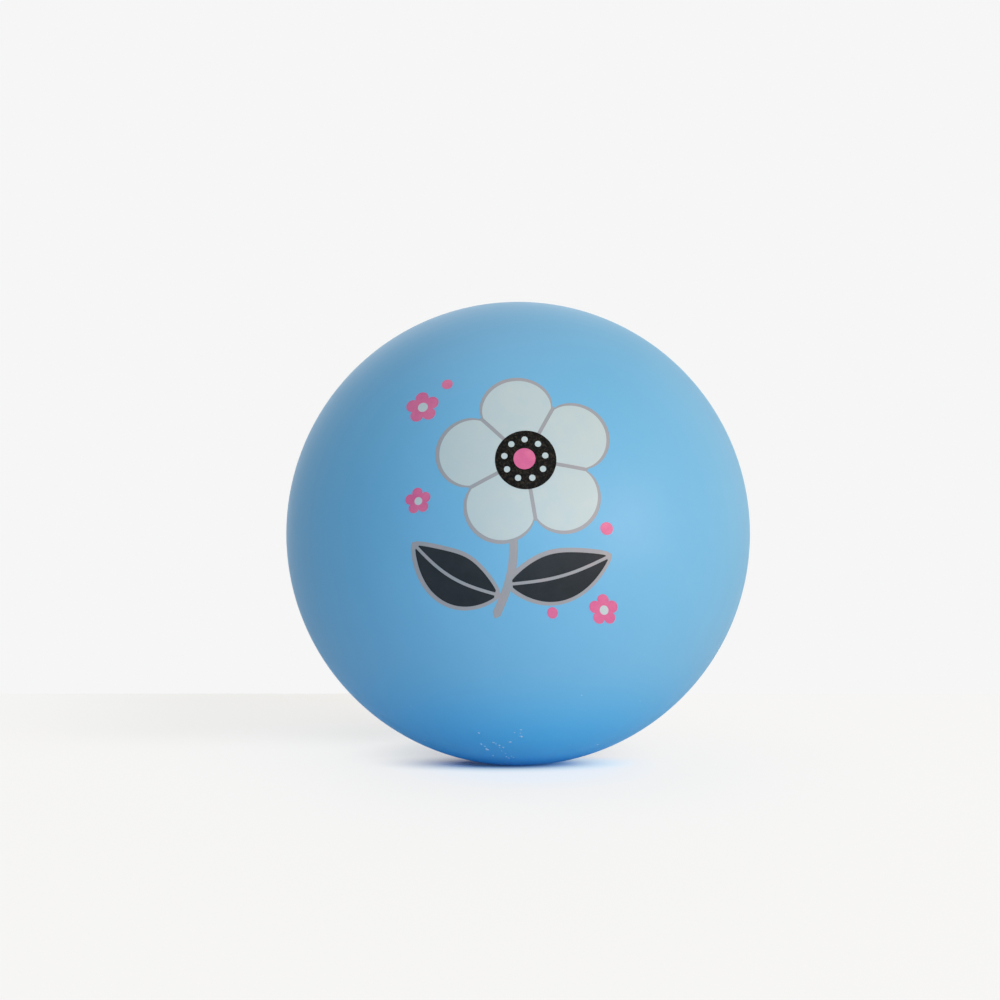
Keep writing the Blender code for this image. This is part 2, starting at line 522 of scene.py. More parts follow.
def plug_plastic():
    recipe = Recipe("plug_plastic")
    distance = distance_from_axis(recipe)
    mottle = recipe.noise(PLUG_MOTTLE, detail=4, roughness=0.6)
    scratches = recipe.noise(PLUG_SCRATCH, detail=3, distortion=2.5)
    scratches = recipe.rise(scratches, *SCRATCH_LEVELS)
    rim = ring_mask(recipe, distance, head_radius, RIM_DARK_WIDTH)
    # A darker ring round the rim, and slightly darker scratches.
    darkening = rim * (0.2 + mottle * 0.6) + scratches * 0.10
    recipe.set(
        Base_Color=recipe.mix(darkening, PLUG_WHITE, PLUG_DARKER),
        Roughness=PLUG_ROUGHNESS + mottle * 0.08 + scratches * 0.10,
        Normal=recipe.bump(mottle - scratches * 0.5, PLUG_GRAIN_DEPTH),
        IOR=PLUG_IOR,
    )
    return recipe.material


seat_material = seat_vinyl()
plug_material = plug_plastic()
print("valve finishes:", seat_material.name, "and", plug_material.name)

# %% Turn the seat
VALVE_STEPS = 144
RIM_STEPS = 5
LIP_WIDTH = 1.8 * MM
LIP_THICKNESS = 1.6 * MM
LIP_EDGE = 0.3 * LIP_THICKNESS
TUBE_WALL = 1.4 * MM
TUBE_TIP_WALL = 0.7 * MM
TUBE_TIP_LENGTH = 2.4 * MM

recess_radius = head_radius + SLIDE_GAP
head_level = face_level - HEAD_CROWN
head_under = head_level - HEAD_THICKNESS
recess_floor = head_under - SLIDE_GAP
lip_level = boss_level - EDGE_ROUND


def seat_profile():
    outer = pocket_radius - SEAM
    lip_radius = neck_radius + LIP_WIDTH
    tube_radius = BORE_RADIUS + TUBE_WALL
    rim = arc((outer - EDGE_ROUND, face_level - EDGE_ROUND), EDGE_ROUND, math.pi / 2, 0, RIM_STEPS)
    under = [(outer, pocket_floor + SEAM), (neck_radius, pocket_floor + SEAM), (neck_radius, lip_level)]
    lip = [(lip_radius, lip_level), (lip_radius, lip_level - LIP_EDGE)]
    tube = [(tube_radius, lip_level - LIP_THICKNESS), (tube_radius, tube_end + TUBE_TIP_LENGTH)]
    tube += [(BORE_RADIUS + TUBE_TIP_WALL, tube_end)]
    bore = [(BORE_RADIUS, tube_end), (BORE_RADIUS, recess_floor), (recess_radius, recess_floor)]
    mouth_centre = (recess_radius + EDGE_ROUND, face_level - EDGE_ROUND)
    mouth = arc(mouth_centre, EDGE_ROUND, math.pi, math.pi / 2, RIM_STEPS)
    return rim + under + lip + tube + bore + mouth


seat = turned(seat_profile(), VALVE_STEPS)
finish_piece(seat, "valve_seat_turned", "ball", seat_material)
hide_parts("valve_seat")

# %% Turn the plug
DOME_STEPS = 8
PLUG_EDGE_STEPS = 4
HEAD_UNDERCUT = 0.5 * MM
DIMPLE_RADIUS = 0.85 * MM
DIMPLE_DEPTH = 0.25 * MM
DIMPLE_DISH = 0.03 * MM
DIMPLE_LIP_WIDTH = 0.1 * MM
DIMPLE_LIP_DROP = 0.06 * MM
BARB_COUNT = 3
BARB_HEIGHT = 0.35 * MM
BARB_LENGTH = 2.2 * MM
# A barb stands at its full height between these two shares of its length.
BARB_CREST = (0.25, 0.4)
TIP_RADIUS = 1.1 * MM
TIP_LENGTH = 2.2 * MM
TIP_ROUND = 0.4 * MM


def plug_head():
    """The dimple, the dome, the rounded edge and the underside."""
    dome_radius = (head_radius**2 + HEAD_CROWN**2) / (2 * HEAD_CROWN)
    dome_centre = (0, head_level + HEAD_CROWN - dome_radius)
    start = math.acos((DIMPLE_RADIUS + DIMPLE_LIP_WIDTH) / dome_radius)
    end = math.acos((head_radius - EDGE_ROUND) / dome_radius)
    dome = arc(dome_centre, dome_radius, start, end, DOME_STEPS)
    floor_level = dome[0][1] - DIMPLE_DEPTH
    dimple = [(0, floor_level), (0.5 * DIMPLE_RADIUS, floor_level + DIMPLE_DISH)]
    dimple += [(DIMPLE_RADIUS, dome[0][1] - DIMPLE_LIP_DROP)]
    edge_centre = (head_radius - EDGE_ROUND, dome[-1][1] - EDGE_ROUND)
    edge = arc(edge_centre, EDGE_ROUND, math.pi / 2, 0, PLUG_EDGE_STEPS)[1:]
    under = [(head_radius, head_under + HEAD_UNDERCUT), (head_radius - HEAD_UNDERCUT, head_under)]
    return dimple + dome + edge + under


def plug_stem():
    """The stem with its barbs, down to the rounded tip."""
    barb_radius = BORE_RADIUS - SLIDE_GAP
    stem_radius = barb_radius - BARB_HEIGHT
    tip_start = plug_end + TIP_LENGTH
    pitch = (head_under - tip_start) / BARB_COUNT
    stem = [(stem_radius, head_under)]
    for number in range(BARB_COUNT):
        shoulder = tip_start + BARB_LENGTH + (BARB_COUNT - 1 - number) * pitch
        stem += [(stem_radius, shoulder)]
        stem += [(barb_radius, shoulder - share * BARB_LENGTH) for share in BARB_CREST]
        stem += [(stem_radius, shoulder - BARB_LENGTH)]
    tip_centre = (TIP_RADIUS - TIP_ROUND, plug_end + TIP_ROUND)
    tip = arc(tip_centre, TIP_ROUND, 0, -math.pi / 2, PLUG_EDGE_STEPS)
    return stem + tip + [(0, plug_end)]


plug = turned(plug_head() + plug_stem(), VALVE_STEPS)
finish_piece(plug, "valve_plug_turned", "plug", plug_material)
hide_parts("valve_plug")

# %% [markdown]
# ## The inks
# The print is pad-printed before the ball is blown up, so the inks stretch with the skin. The pale ink is
# thin and lets some blue through. Charcoal is matt. The black is the thickest, it wrinkles into a fine
# orange peel, and the crests of its wrinkles carry a painted glint. Grey makes the outlines, and pink the
# accents.

# %% Ink finishes
INK_WRINKLE = 0.66 * MM
INK_PATCH = 5 * MM
INK_PATCH_LEVELS = (0.35, 0.65)
INK_SPECKLE = 0.5 * MM
INK_PAINTED_GLINT = srgb(66, 60, 50)
INK_PAINTED_GLINT_LEVELS = (0.46, 0.72)
FLAT = 0.012 * MM
WRINKLED = 0.34 * MM
# Each ink has its colour where it covers well and where it is thin, its roughness, its gloss, the depth of
# its wrinkles, how patchy it is, and how strongly a painted glint colours the wrinkles' crests.
INK_SETTINGS = {
    "print_pale": (srgb(171, 187, 191), srgb(157, 182, 194), 0.42, 0.33, FLAT, 0.5, 0.0),
    "print_charcoal": (srgb(25, 33, 40), srgb(38, 46, 53), 0.46, 0.17, FLAT, 0.5, 0.0),
    "print_black": (srgb(4, 5, 5), srgb(14, 16, 17), 0.26, 0.06, WRINKLED, 0.4, 0.4),
    "print_grey": (srgb(132, 142, 150), srgb(146, 142, 149), 0.42, 0.35, FLAT, 0.8, 0.0),
    "print_pink": (srgb(186, 84, 134), srgb(198, 106, 144), 0.40, 0.35, FLAT, 0.8, 0.0),
}


def ink(name, full, thin, roughness, gloss, wrinkle_depth, patchiness, painted_glint):
    recipe = Recipe(name)
    patches = recipe.noise(INK_PATCH, detail=5, roughness=0.6)
    speckle = recipe.noise(INK_SPECKLE, detail=2)
    wrinkles = recipe.noise(INK_WRINKLE, detail=1, roughness=0.4, distortion=1.0)
    thinness = recipe.rise(patches * 0.75 + speckle * 0.25, *INK_PATCH_LEVELS)
    shade = recipe.mix(thinness * patchiness, full, thin)
    if painted_glint:
        # A light brown on the wrinkles' crests is a painted glint.
        shade = recipe.mix(recipe.step(wrinkles, *INK_PAINTED_GLINT_LEVELS) * painted_glint, shade, INK_PAINTED_GLINT)
    recipe.set(
        Base_Color=shade,
        Roughness=roughness + wrinkles * 0.08,
        Normal=recipe.bump(wrinkles, wrinkle_depth),
        Specular_IOR_Level=gloss,
    )
    return recipe.material


inks = {name: ink(name, *settings) for name, settings in INK_SETTINGS.items()}
print("inks:", list(inks))

# %% [markdown]
# ## Shapes of the print
# The print is a large pale flower on a stem, with two leaves and some small blossoms. Every shape is an
# outline in a flat plane, in metres from the print's centre, worked out by a formula. Each colour is then
# cut, like a biscuit, from a thin shell that lies on the skin.

# %% Outlines of flowers
PETAL_SHARPNESS = 0.62


def around(centre, radius, angle):
    return (centre[0] + radius * math.cos(angle), centre[1] + radius * math.sin(angle))


def lobed(centre, tip, valley, lobes, turn, steps=160):
    """A round outline with this many lobes, the first at the angle turn."""
    points = []
    for step in range(steps):
        angle = 2 * math.pi * step / steps
        lobe = abs(math.cos((angle - turn) * lobes / 2)) ** PETAL_SHARPNESS
        points.append(around(centre, valley + (tip - valley) * lobe, angle))
    return points


def disc(centre, radius, steps=56):
    return lobed(centre, radius, radius, 1, 0, steps=steps)


def petal(centre, tip, valley, lobes, turn, number, gap, steps=40):
    """One lobe of the flower, kept half a gap away from the lines that part it from its neighbours."""
    half = math.pi / lobes
    middle = turn + 2 * half * number
    points = [around(centre, gap / 2 / math.sin(half), middle)]
    for step in range(steps + 1):
        angle = half * (2 * step / steps - 1)
        radius = valley + (tip - valley) * abs(math.cos(angle * lobes / 2)) ** PETAL_SHARPNESS
        if radius * math.sin(half - abs(angle)) > gap / 2:
            points.append(around(centre, radius, middle + angle))
    return points


def swarm(centre, radius, count, turn):
    """Places evenly round a circle."""
    angles = [turn + 2 * math.pi * number / count for number in range(count)]
    return [around(centre, radius, angle) for angle in angles]


print("a disc has", len(disc((0, 0), 1)), "points")

# %% Outlines of leaves and stems
# A leaf's width follows a sine to a power, with more of it at the base than at the tip. Its grown outline
# follows a sine to another power, so that it stays wide up to the ends.
LEAF_POWER = 0.8
LEAF_BASE = 1.12
LEAF_TAPER = 0.32
OUTLINE_POWER = 0.35
# Half a leaf starts where it is this share of the rib wide. A strip's end starts at this share of its width,
# and is full after about this many steps.
HALF_LEAF_START = 0.6
STRIP_END_WIDTH = 0.25
STRIP_END_STEPS = 2.2


def along(start, heading, length, bend, share, aside):
    """A point on a slightly bent centre line, moved aside from it."""
    ahead = Vector((math.cos(heading), math.sin(heading)))
    left = Vector((-ahead.y, ahead.x))
    slope = bend * math.pi * math.cos(math.pi * share) / length
    normal = (left - ahead * slope).normalized()
    point = Vector(start) + ahead * length * share + left * bend * math.sin(math.pi * share) + normal * aside
    return (point.x, point.y)


def leaf_half_width(width, share):
    """Half a leaf's width at this share of its length. It is widest before its middle."""
    return width / 2 * math.sin(math.pi * share) ** LEAF_POWER * (LEAF_BASE - LEAF_TAPER * share)


def leaf(start, heading, length, width, bend, grow, steps=36):
    """A whole leaf, grown by the outline's width."""
    shares = [step / steps for step in range(steps + 1)]
    reach = grow / length
    spots = [share * (1 + 2 * reach) - reach for share in shares]
    sides = []
    for side in (1, -1):
        points = []
        for share, spot in zip(shares, spots):
            away = leaf_half_width(width, share) + grow * math.sin(math.pi * share) ** OUTLINE_POWER
            points.append(along(start, heading, length, bend, spot, side * away))
        sides.append(points)
    return sides[0] + sides[1][-2:0:-1]


def half_leaf(start, heading, length, width, bend, side, rib, steps=36):
    """One side of a leaf, kept half a rib's width away from the centre line."""
    shares = [step / steps for step in range(steps + 1)]
    wide = [share for share in shares if leaf_half_width(width, share) > rib * HALF_LEAF_START]
    halves = [side * leaf_half_width(width, share) for share in wide]
    edge = [along(start, heading, length, bend, share, away) for share, away in zip(wide, halves)]
    middle = [along(start, heading, length, bend, share, side * rib / 2) for share in reversed(wide)]
    return edge + middle


def strip(start, heading, length, bend, width, steps=24):
    """A bent band with rounded ends, such as a stem."""
    shares = [step / steps for step in range(steps + 1)]
    outline = []
    for side in (1, -1):
        order = shares if side == 1 else shares[::-1]
        for share in order:
            taper = STRIP_END_WIDTH
            if 0 < share < 1:
                taper = min(1.0, 4 * share * (1 - share) * steps / STRIP_END_STEPS) ** 0.5
            outline.append(along(start, heading, length, bend, share, side * width / 2 * taper))
    return outline


print("a leaf 14 mm wide is", round(2 * leaf_half_width(14.0, 0.4), 1), "mm wide at two fifths of its length")

# %% Sizes of the motifs
LINE = 1.15 * MM
RIB = 0.9 * MM
FLOWER_CENTRE = (4.0 * MM, 9.5 * MM)
FLOWER_LOBES = 5
FLOWER = {
    "centre": FLOWER_CENTRE,
    "tip": 27.2 * MM,
    "valley": 17.5 * MM,
    "lobes": FLOWER_LOBES,
    "turn": math.radians(100),
}
BUTTON_RADIUS = 9.2 * MM
BUTTON_MIDDLE_RADIUS = 3.3 * MM
DOT_RADIUS = 0.95 * MM
DOT_RING_RADIUS = 6.2 * MM
DOT_COUNT = 9
DOT_TURN = 0.2
STEM = {
    "start": (0.5 * MM, -9.6 * MM),
    "heading": math.radians(-101),
    "length": 28.0 * MM,
    "width": 2.6 * MM,
    "bend": 2.4 * MM,
}
LEFT_LEAF = {
    "start": (-4.2 * MM, -30.5 * MM),
    "heading": math.radians(149),
    "length": 29.0 * MM,
    "width": 14.5 * MM,
    "bend": 2.6 * MM,
}
RIGHT_LEAF = {
    "start": (-0.6 * MM, -27.5 * MM),
    "heading": math.radians(17),
    "length": 31.0 * MM,
    "width": 14.0 * MM,
    "bend": -2.0 * MM,
}
LEAVES = [LEFT_LEAF, RIGHT_LEAF]
print("flower", round(2 * FLOWER["tip"] / MM, 1), "mm across, leaves", len(LEAVES))

# %% Small blossoms and spots
# Each has its place and its radius. A blossom's valleys and its middle are shares of that radius.
BLOSSOMS = [
    ((-27.4 * MM, 27.5 * MM), 5.2 * MM),
    ((-28.0 * MM, -2.5 * MM), 4.0 * MM),
    ((27.8 * MM, -34.0 * MM), 4.4 * MM),
]
BLOSSOM_LOBES = 5
BLOSSOM_TURN = 0.4
BLOSSOM_STEPS = 80
BLOSSOM_VALLEY = 0.62
BLOSSOM_MIDDLE = 0.30
SPOTS = [
    ((-20.0 * MM, 34.8 * MM), 1.7 * MM),
    ((28.6 * MM, -10.6 * MM), 1.9 * MM),
    ((12.5 * MM, -35.6 * MM), 1.6 * MM),
]
SPOT_STEPS = 32
DOT_STEPS = 24


def blossom(place, size):
    return lobed(place, size, BLOSSOM_VALLEY * size, BLOSSOM_LOBES, BLOSSOM_TURN, steps=BLOSSOM_STEPS)


print(len(BLOSSOMS), "blossoms and", len(SPOTS), "spots")

# %% Lay the motifs out
pale_flower = {**FLOWER, "tip": FLOWER["tip"] - LINE, "valley": FLOWER["valley"] - LINE}
dot_places = swarm(FLOWER_CENTRE, DOT_RING_RADIUS, DOT_COUNT, DOT_TURN)
grey_shapes = [lobed(**FLOWER)]
grey_shapes += [leaf(**each, grow=LINE) for each in LEAVES]
pale_shapes = [petal(**pale_flower, number=number, gap=LINE) for number in range(FLOWER_LOBES)]
black_shapes = [disc(FLOWER_CENTRE, BUTTON_RADIUS)]
charcoal_shapes = [half_leaf(**each, side=side, rib=RIB) for each in LEAVES for side in (1, -1)]
pink_shapes = [blossom(place, size) for place, size in BLOSSOMS]
pink_shapes += [disc(place, size, SPOT_STEPS) for place, size in SPOTS]
pink_shapes += [disc(FLOWER_CENTRE, BUTTON_MIDDLE_RADIUS)]
dot_shapes = [disc(place, DOT_RADIUS, DOT_STEPS) for place in dot_places]
dot_shapes += [disc(place, BLOSSOM_MIDDLE * size, DOT_STEPS) for place, size in BLOSSOMS]
stem_shapes = [strip(**STEM)]
print("pale petals:", len(pale_shapes), "pink shapes:", len(pink_shapes), "dots:", len(dot_shapes))

# %% [markdown]
# ## The films
# A real ink film is hundredths of a millimetre thick. Each one here is a piece of a shell that starts a
# little inside the skin and stands a few hundredths proud of it, and a colour that lies on another stands
# a step higher. The shell is cut by prisms of the outlines, all pushed straight at the ball, as the printing
# pad is. The colours don't quite line up, as on the real ball.

# %% A shell and its cutters
PRINT_AZIMUTH = math.radians(-2.0)
PRINT_ELEVATION = math.radians(15.7)
FILM_ROOT = 0.05 * MM
SHELL_REACH = math.radians(42)
SHELL_SUBDIVISIONS = 7
PRISM_START = -1.15 * ball_radius
PRISM_LENGTH = 0.6 * ball_radius


def shell_blank(height):
    """A cap of thin shell round the front of the ball, its outer face this high above the skin."""
    deselect()
    bpy.ops.mesh.primitive_ico_sphere_add(subdivisions=SHELL_SUBDIVISIONS, radius=skin_radius + height)
    blank = active()
    edge = -(skin_radius + height) * math.cos(SHELL_REACH)
    bpy.ops.object.mode_set(mode="EDIT")
    bpy.ops.mesh.select_all(action="SELECT")
    bpy.ops.mesh.bisect(plane_co=(0, edge, 0), plane_no=(0, 1, 0), clear_outer=True)
    bpy.ops.object.mode_set(mode="OBJECT")
    wall = blank.modifiers.new("wall", "SOLIDIFY")
    wall.thickness = height + FILM_ROOT
    wall.offset = -1
    bpy.ops.object.modifier_apply(modifier="wall")
    return blank


def prism(shape, shift):
    """An outline as a prism that passes through the front of the ball."""
    deselect()
    bpy.ops.mesh.primitive_circle_add(vertices=len(shape), radius=1, fill_type="NGON")
    made = active()
    for vertex, (across, up) in zip(made.data.vertices, shape):
        vertex.co = (across + shift[0], PRISM_START, up + shift[1])
    bpy.ops.object.mode_set(mode="EDIT")
    bpy.ops.mesh.select_all(action="SELECT")
    bpy.ops.mesh.extrude_region_move(TRANSFORM_OT_translate={"value": (0, PRISM_LENGTH, 0)})
    bpy.ops.mesh.select_all(action="SELECT")
    bpy.ops.mesh.normals_make_consistent(inside=False)
    bpy.ops.object.mode_set(mode="OBJECT")
    return made


def film(name, shapes, height, slot, shift, colour):
    """One printed colour, cut from its shell and turned to where the print is."""
    cutter = joined([prism(shape, shift) for shape in shapes])
    blank = shell_blank(height)
    cut = blank.modifiers.new("cut", "BOOLEAN")
    cut.operation = "INTERSECT"
    cut.object = cutter
    bpy.ops.object.modifier_apply(modifier="cut")
    bpy.data.objects.remove(cutter)
    blank.matrix_world = Matrix.Rotation(PRINT_AZIMUTH, 4, "Z") @ Matrix.Rotation(-PRINT_ELEVATION, 4, "X")
    finish_piece(blank, name, "ball", inks[colour])


print("films start", round(FILM_ROOT / MM, 3), "mm inside the skin")

# %% Cut the films
IN_PLACE = (0.0, 0.0)
PALE_SHIFT = (0.10 * MM, 0.0)
BLACK_SHIFT = (0.22 * MM, -0.14 * MM)
PINK_SHIFT = (-0.12 * MM, 0.10 * MM)
# Each film has its outlines, its height above the skin, its slot, how far it is printed to the right and up
# from its place, and its ink.
FILMS = {
    "print_outlines": (grey_shapes, 0.012 * MM, "print_grey", IN_PLACE, "print_grey"),
    "print_petals": (pale_shapes, 0.024 * MM, "print_pale", PALE_SHIFT, "print_pale"),
    "print_stem": (stem_shapes, 0.006 * MM, "print_grey", IN_PLACE, "print_grey"),
    "print_leaves": (charcoal_shapes, 0.030 * MM, "print_black", BLACK_SHIFT, "print_charcoal"),
    "print_button": (black_shapes, 0.036 * MM, "print_black", BLACK_SHIFT, "print_black"),
    "print_accents": (pink_shapes, 0.048 * MM, "print_pink", PINK_SHIFT, "print_pink"),
    "print_dots": (dot_shapes, 0.058 * MM, "print_pale", IN_PLACE, "print_pale"),
}

for name, settings in FILMS.items():
    film(name, *settings)

# %% [markdown]
# ## Dust
# A few pale crumbs of dust cling low on the front, where the ball was put down. They are thin flakes with
# ragged edges, placed where the photograph shows them.

# %% Where the crumbs are
# Each crumb has its pixel across and down, and its width in millimetres.
CRUMBS_PX = [
    (478.8, 733.0, 0.9), (481.3, 744.1, 0.9), (484.6, 746.2, 0.8), (486.9, 749.2, 1.5), (493.4, 742.6, 0.9),
    (495.6, 743.8, 0.8), (499.0, 745.2, 0.9), (499.4, 747.2, 0.6), (503.2, 747.4, 0.9), (501.5, 750.9, 0.6),
    (492.9, 755.4, 0.8), (510.0, 741.9, 1.2), (520.9, 729.7, 0.8), (520.4, 733.2, 0.5), (521.2, 736.3, 1.3),
    (514.4, 732.5, 0.5), (506.1, 756.7, 1.0), (508.6, 757.9, 0.8), (511.4, 756.2, 0.8), (513.4, 757.4, 0.7),
    (597.4, 744.6, 0.8), (581.9, 695.3, 0.6), (424.9, 740.4, 0.7), (570.0, 745.1, 0.5), (380.0, 714.0, 0.7),
    (411.0, 706.0, 0.5), (640.0, 701.0, 0.5), (505.5, 753.6, 0.5),
]


def on_ball(pixel_x, pixel_y):
    """The point of the ball that the camera sees at this pixel."""
    across = (pixel_x - PICTURE_SIZE / 2) / focal_px
    down = (pixel_y - PICTURE_SIZE / 2) / focal_px
    ray = (-camera_back + camera_right * across - camera_up * down).normalized()
    start = camera.location
    half = start.dot(ray)
    return start + ray * (-half - math.sqrt(half**2 - start.length_squared + skin_radius**2))


print(len(CRUMBS_PX), "crumbs of dust")

# %% Dust flakes
DUST_THIN = srgb(118, 174, 214)
DUST_THICK = srgb(178, 204, 230)
DUST_ROUGHNESS = 0.85
DUST_SPECKLE = 0.25 * MM
DUST_DEPTH = 0.05 * MM
# A crumb's points are moved in or out by a share in the first range, and its width is a share in the second.
CRUMB_RAGGED = (0.55, 1.15)
CRUMB_NARROW = (0.6, 0.9)
CRUMB_FLAT = 0.42


def dust():
    recipe = Recipe("dust")
    speckle = recipe.noise(DUST_SPECKLE, detail=3)
    recipe.set(
        Base_Color=recipe.mix(speckle, DUST_THIN, DUST_THICK),
        Roughness=DUST_ROUGHNESS,
        Normal=recipe.bump(speckle, DUST_DEPTH),
    )
    return recipe.material


def crumb(place, size, seed):
    """A ragged flake, lying flat on the skin."""
    shaker = random.Random(seed)
    deselect()
    bpy.ops.mesh.primitive_ico_sphere_add(subdivisions=2, radius=size / 2)
    flake = active()
    for vertex in flake.data.vertices:
        vertex.co *= shaker.uniform(*CRUMB_RAGGED)
    flatten = Matrix.Diagonal((1.0, shaker.uniform(*CRUMB_NARROW), CRUMB_FLAT, 1.0))
    turn = Matrix.Rotation(shaker.uniform(0, math.tau), 4, "Z")
    outward = place.to_track_quat("Z", "Y").to_matrix().to_4x4()
    flake.matrix_world = Matrix.Translation(place) @ outward @ turn @ flatten
    bpy.ops.object.transform_apply(location=True, rotation=True, scale=True)
    return flake


crumbs = [crumb(on_ball(x, y), size * MM, seed) for seed, (x, y, size) in enumerate(CRUMBS_PX)]
finish_piece(joined(crumbs), "dust_flakes", "ball", dust())

# %% [markdown]
# ## The table
# The ball stands on a white table whose far edge shows as a faint line where the shadow ends. The photograph
# is so bright that most of the table is as white as the wall behind it. Only the ball's shade and its shadow
# to the left remain, and how strongly they show is painted by place, with a painted blue shade right under
# the ball. Close round the ball a painted reflection of the blue skin tints the white.

# %% The table top
FLOOR_LEVEL = -skin_radius
FLOOR_FAR_EDGE = 0.142
FLOOR_HALF_WIDTH = 1.6
FLOOR_NEAR_EDGE = -1.6

deselect()
bpy.ops.mesh.primitive_plane_add(size=1)
floor = active()
floor.name = "table_top"
depth = FLOOR_FAR_EDGE - FLOOR_NEAR_EDGE
floor.scale = (2 * FLOOR_HALF_WIDTH, depth, 1)
floor.location = (0, FLOOR_FAR_EDGE - depth / 2, FLOOR_LEVEL)
bpy.ops.object.transform_apply(location=True, rotation=True, scale=True)
print("table edge", FLOOR_FAR_EDGE, "m behind the ball's centre")

# %% What the camera and the ball see of the table
BACKDROP = srgb(246, 246, 246)
FLOOR_LEFT = (0.84, 0.90, 0.98, 1.0)
FLOOR_RIGHT = (0.98, 0.91, 0.93, 1.0)
FLOOR_SEEN = (0.97, 0.95, 0.94, 1.0)
FLOOR_GLOW = (0.99, 0.98, 0.95, 1.0)
FLOOR_ROUGHNESS = 0.7
# Light that the ball gets from the table changes from the left to the right colour between these places.
BOUNCE_ACROSS = (-0.03, 0.12)
# The camera sees a share of the floor as plain backdrop. This much is plain in the shade, and this much more
# elsewhere. Between the two distances from the ball the share grows to the whole.
FLOOR_PLAIN = 0.50
FLOOR_PLAIN_EXTRA = 0.38
FLOOR_FADE = (0.26, 0.48)
print("plain share of the open floor:", FLOOR_PLAIN + FLOOR_PLAIN_EXTRA)

# %% Shade and shadow
# Each pair says where a mask starts and where it is full, in metres to the right of the ball's centre or
# behind it. The shadow fades in at its left end, fades out at its right end, and lies behind the ball.
SHADOW_LEFT = (-0.21, -0.11)
SHADOW_RIGHT = (-0.06, 0.05)
SHADOW_BACK = (0.015, 0.065)
# The softer shade close behind the patch under the ball: its centre, and from where to where it fades.
SHADE_CENTRE = (-0.007, 0.020)
SHADE_FADE = (0.012, 0.058)
SHADE_BACK = (-0.012, 0.012)
print("shade round", SHADE_CENTRE)

# %% The painted shade under the ball
# This patch is painted shade: almost nothing in it is plain, and the table there is painted blue. It has a
# centre, half lengths, the share of them that is full shade, the power by which it fades, and the least share
# that is plain.
CONTACT_CENTRE = (-0.0045, -0.0028)
CONTACT_HALF = (0.048, 0.0175)
CONTACT_CORE = 0.27
CONTACT_FADE = 0.6
CONTACT_LEAST = 0.04
PAINTED_CONTACT_SHADE = (0.06, 0.40, 0.90, 1.0)
# A painted reflection of the blue skin also tints the white round the patch, but not behind it: a wide
# painted halo, and a narrow painted rim that turns from deep to light away from the ball. Their fades are in
# shares of half lengths.
BLUE_BACK = (-0.010, 0.004)
BLUE_RIGHT = (-0.015, 0.010)
BLUE_END = (0.002, 0.012)
HALO_CENTRE = (0.002, -0.004)
HALO_HALF = (0.045, 0.045)
HALO_FADE = (0.3, 1.15)
PAINTED_HALO_BLUE = (0.86, 0.93, 1.02, 1.0)
RIM_FADE = (0.55, 0.95)
RIM_RIGHT = (-0.035, -0.010)
RIM_LIGHTENS = (0.30, 0.60)
PAINTED_RIM_DEEP = (0.30, 0.75, 1.50, 1.0)
PAINTED_RIM_LIGHT = (0.82, 1.04, 1.20, 1.0)
print("patch", [round(2 * half / MM) for half in CONTACT_HALF], "mm")

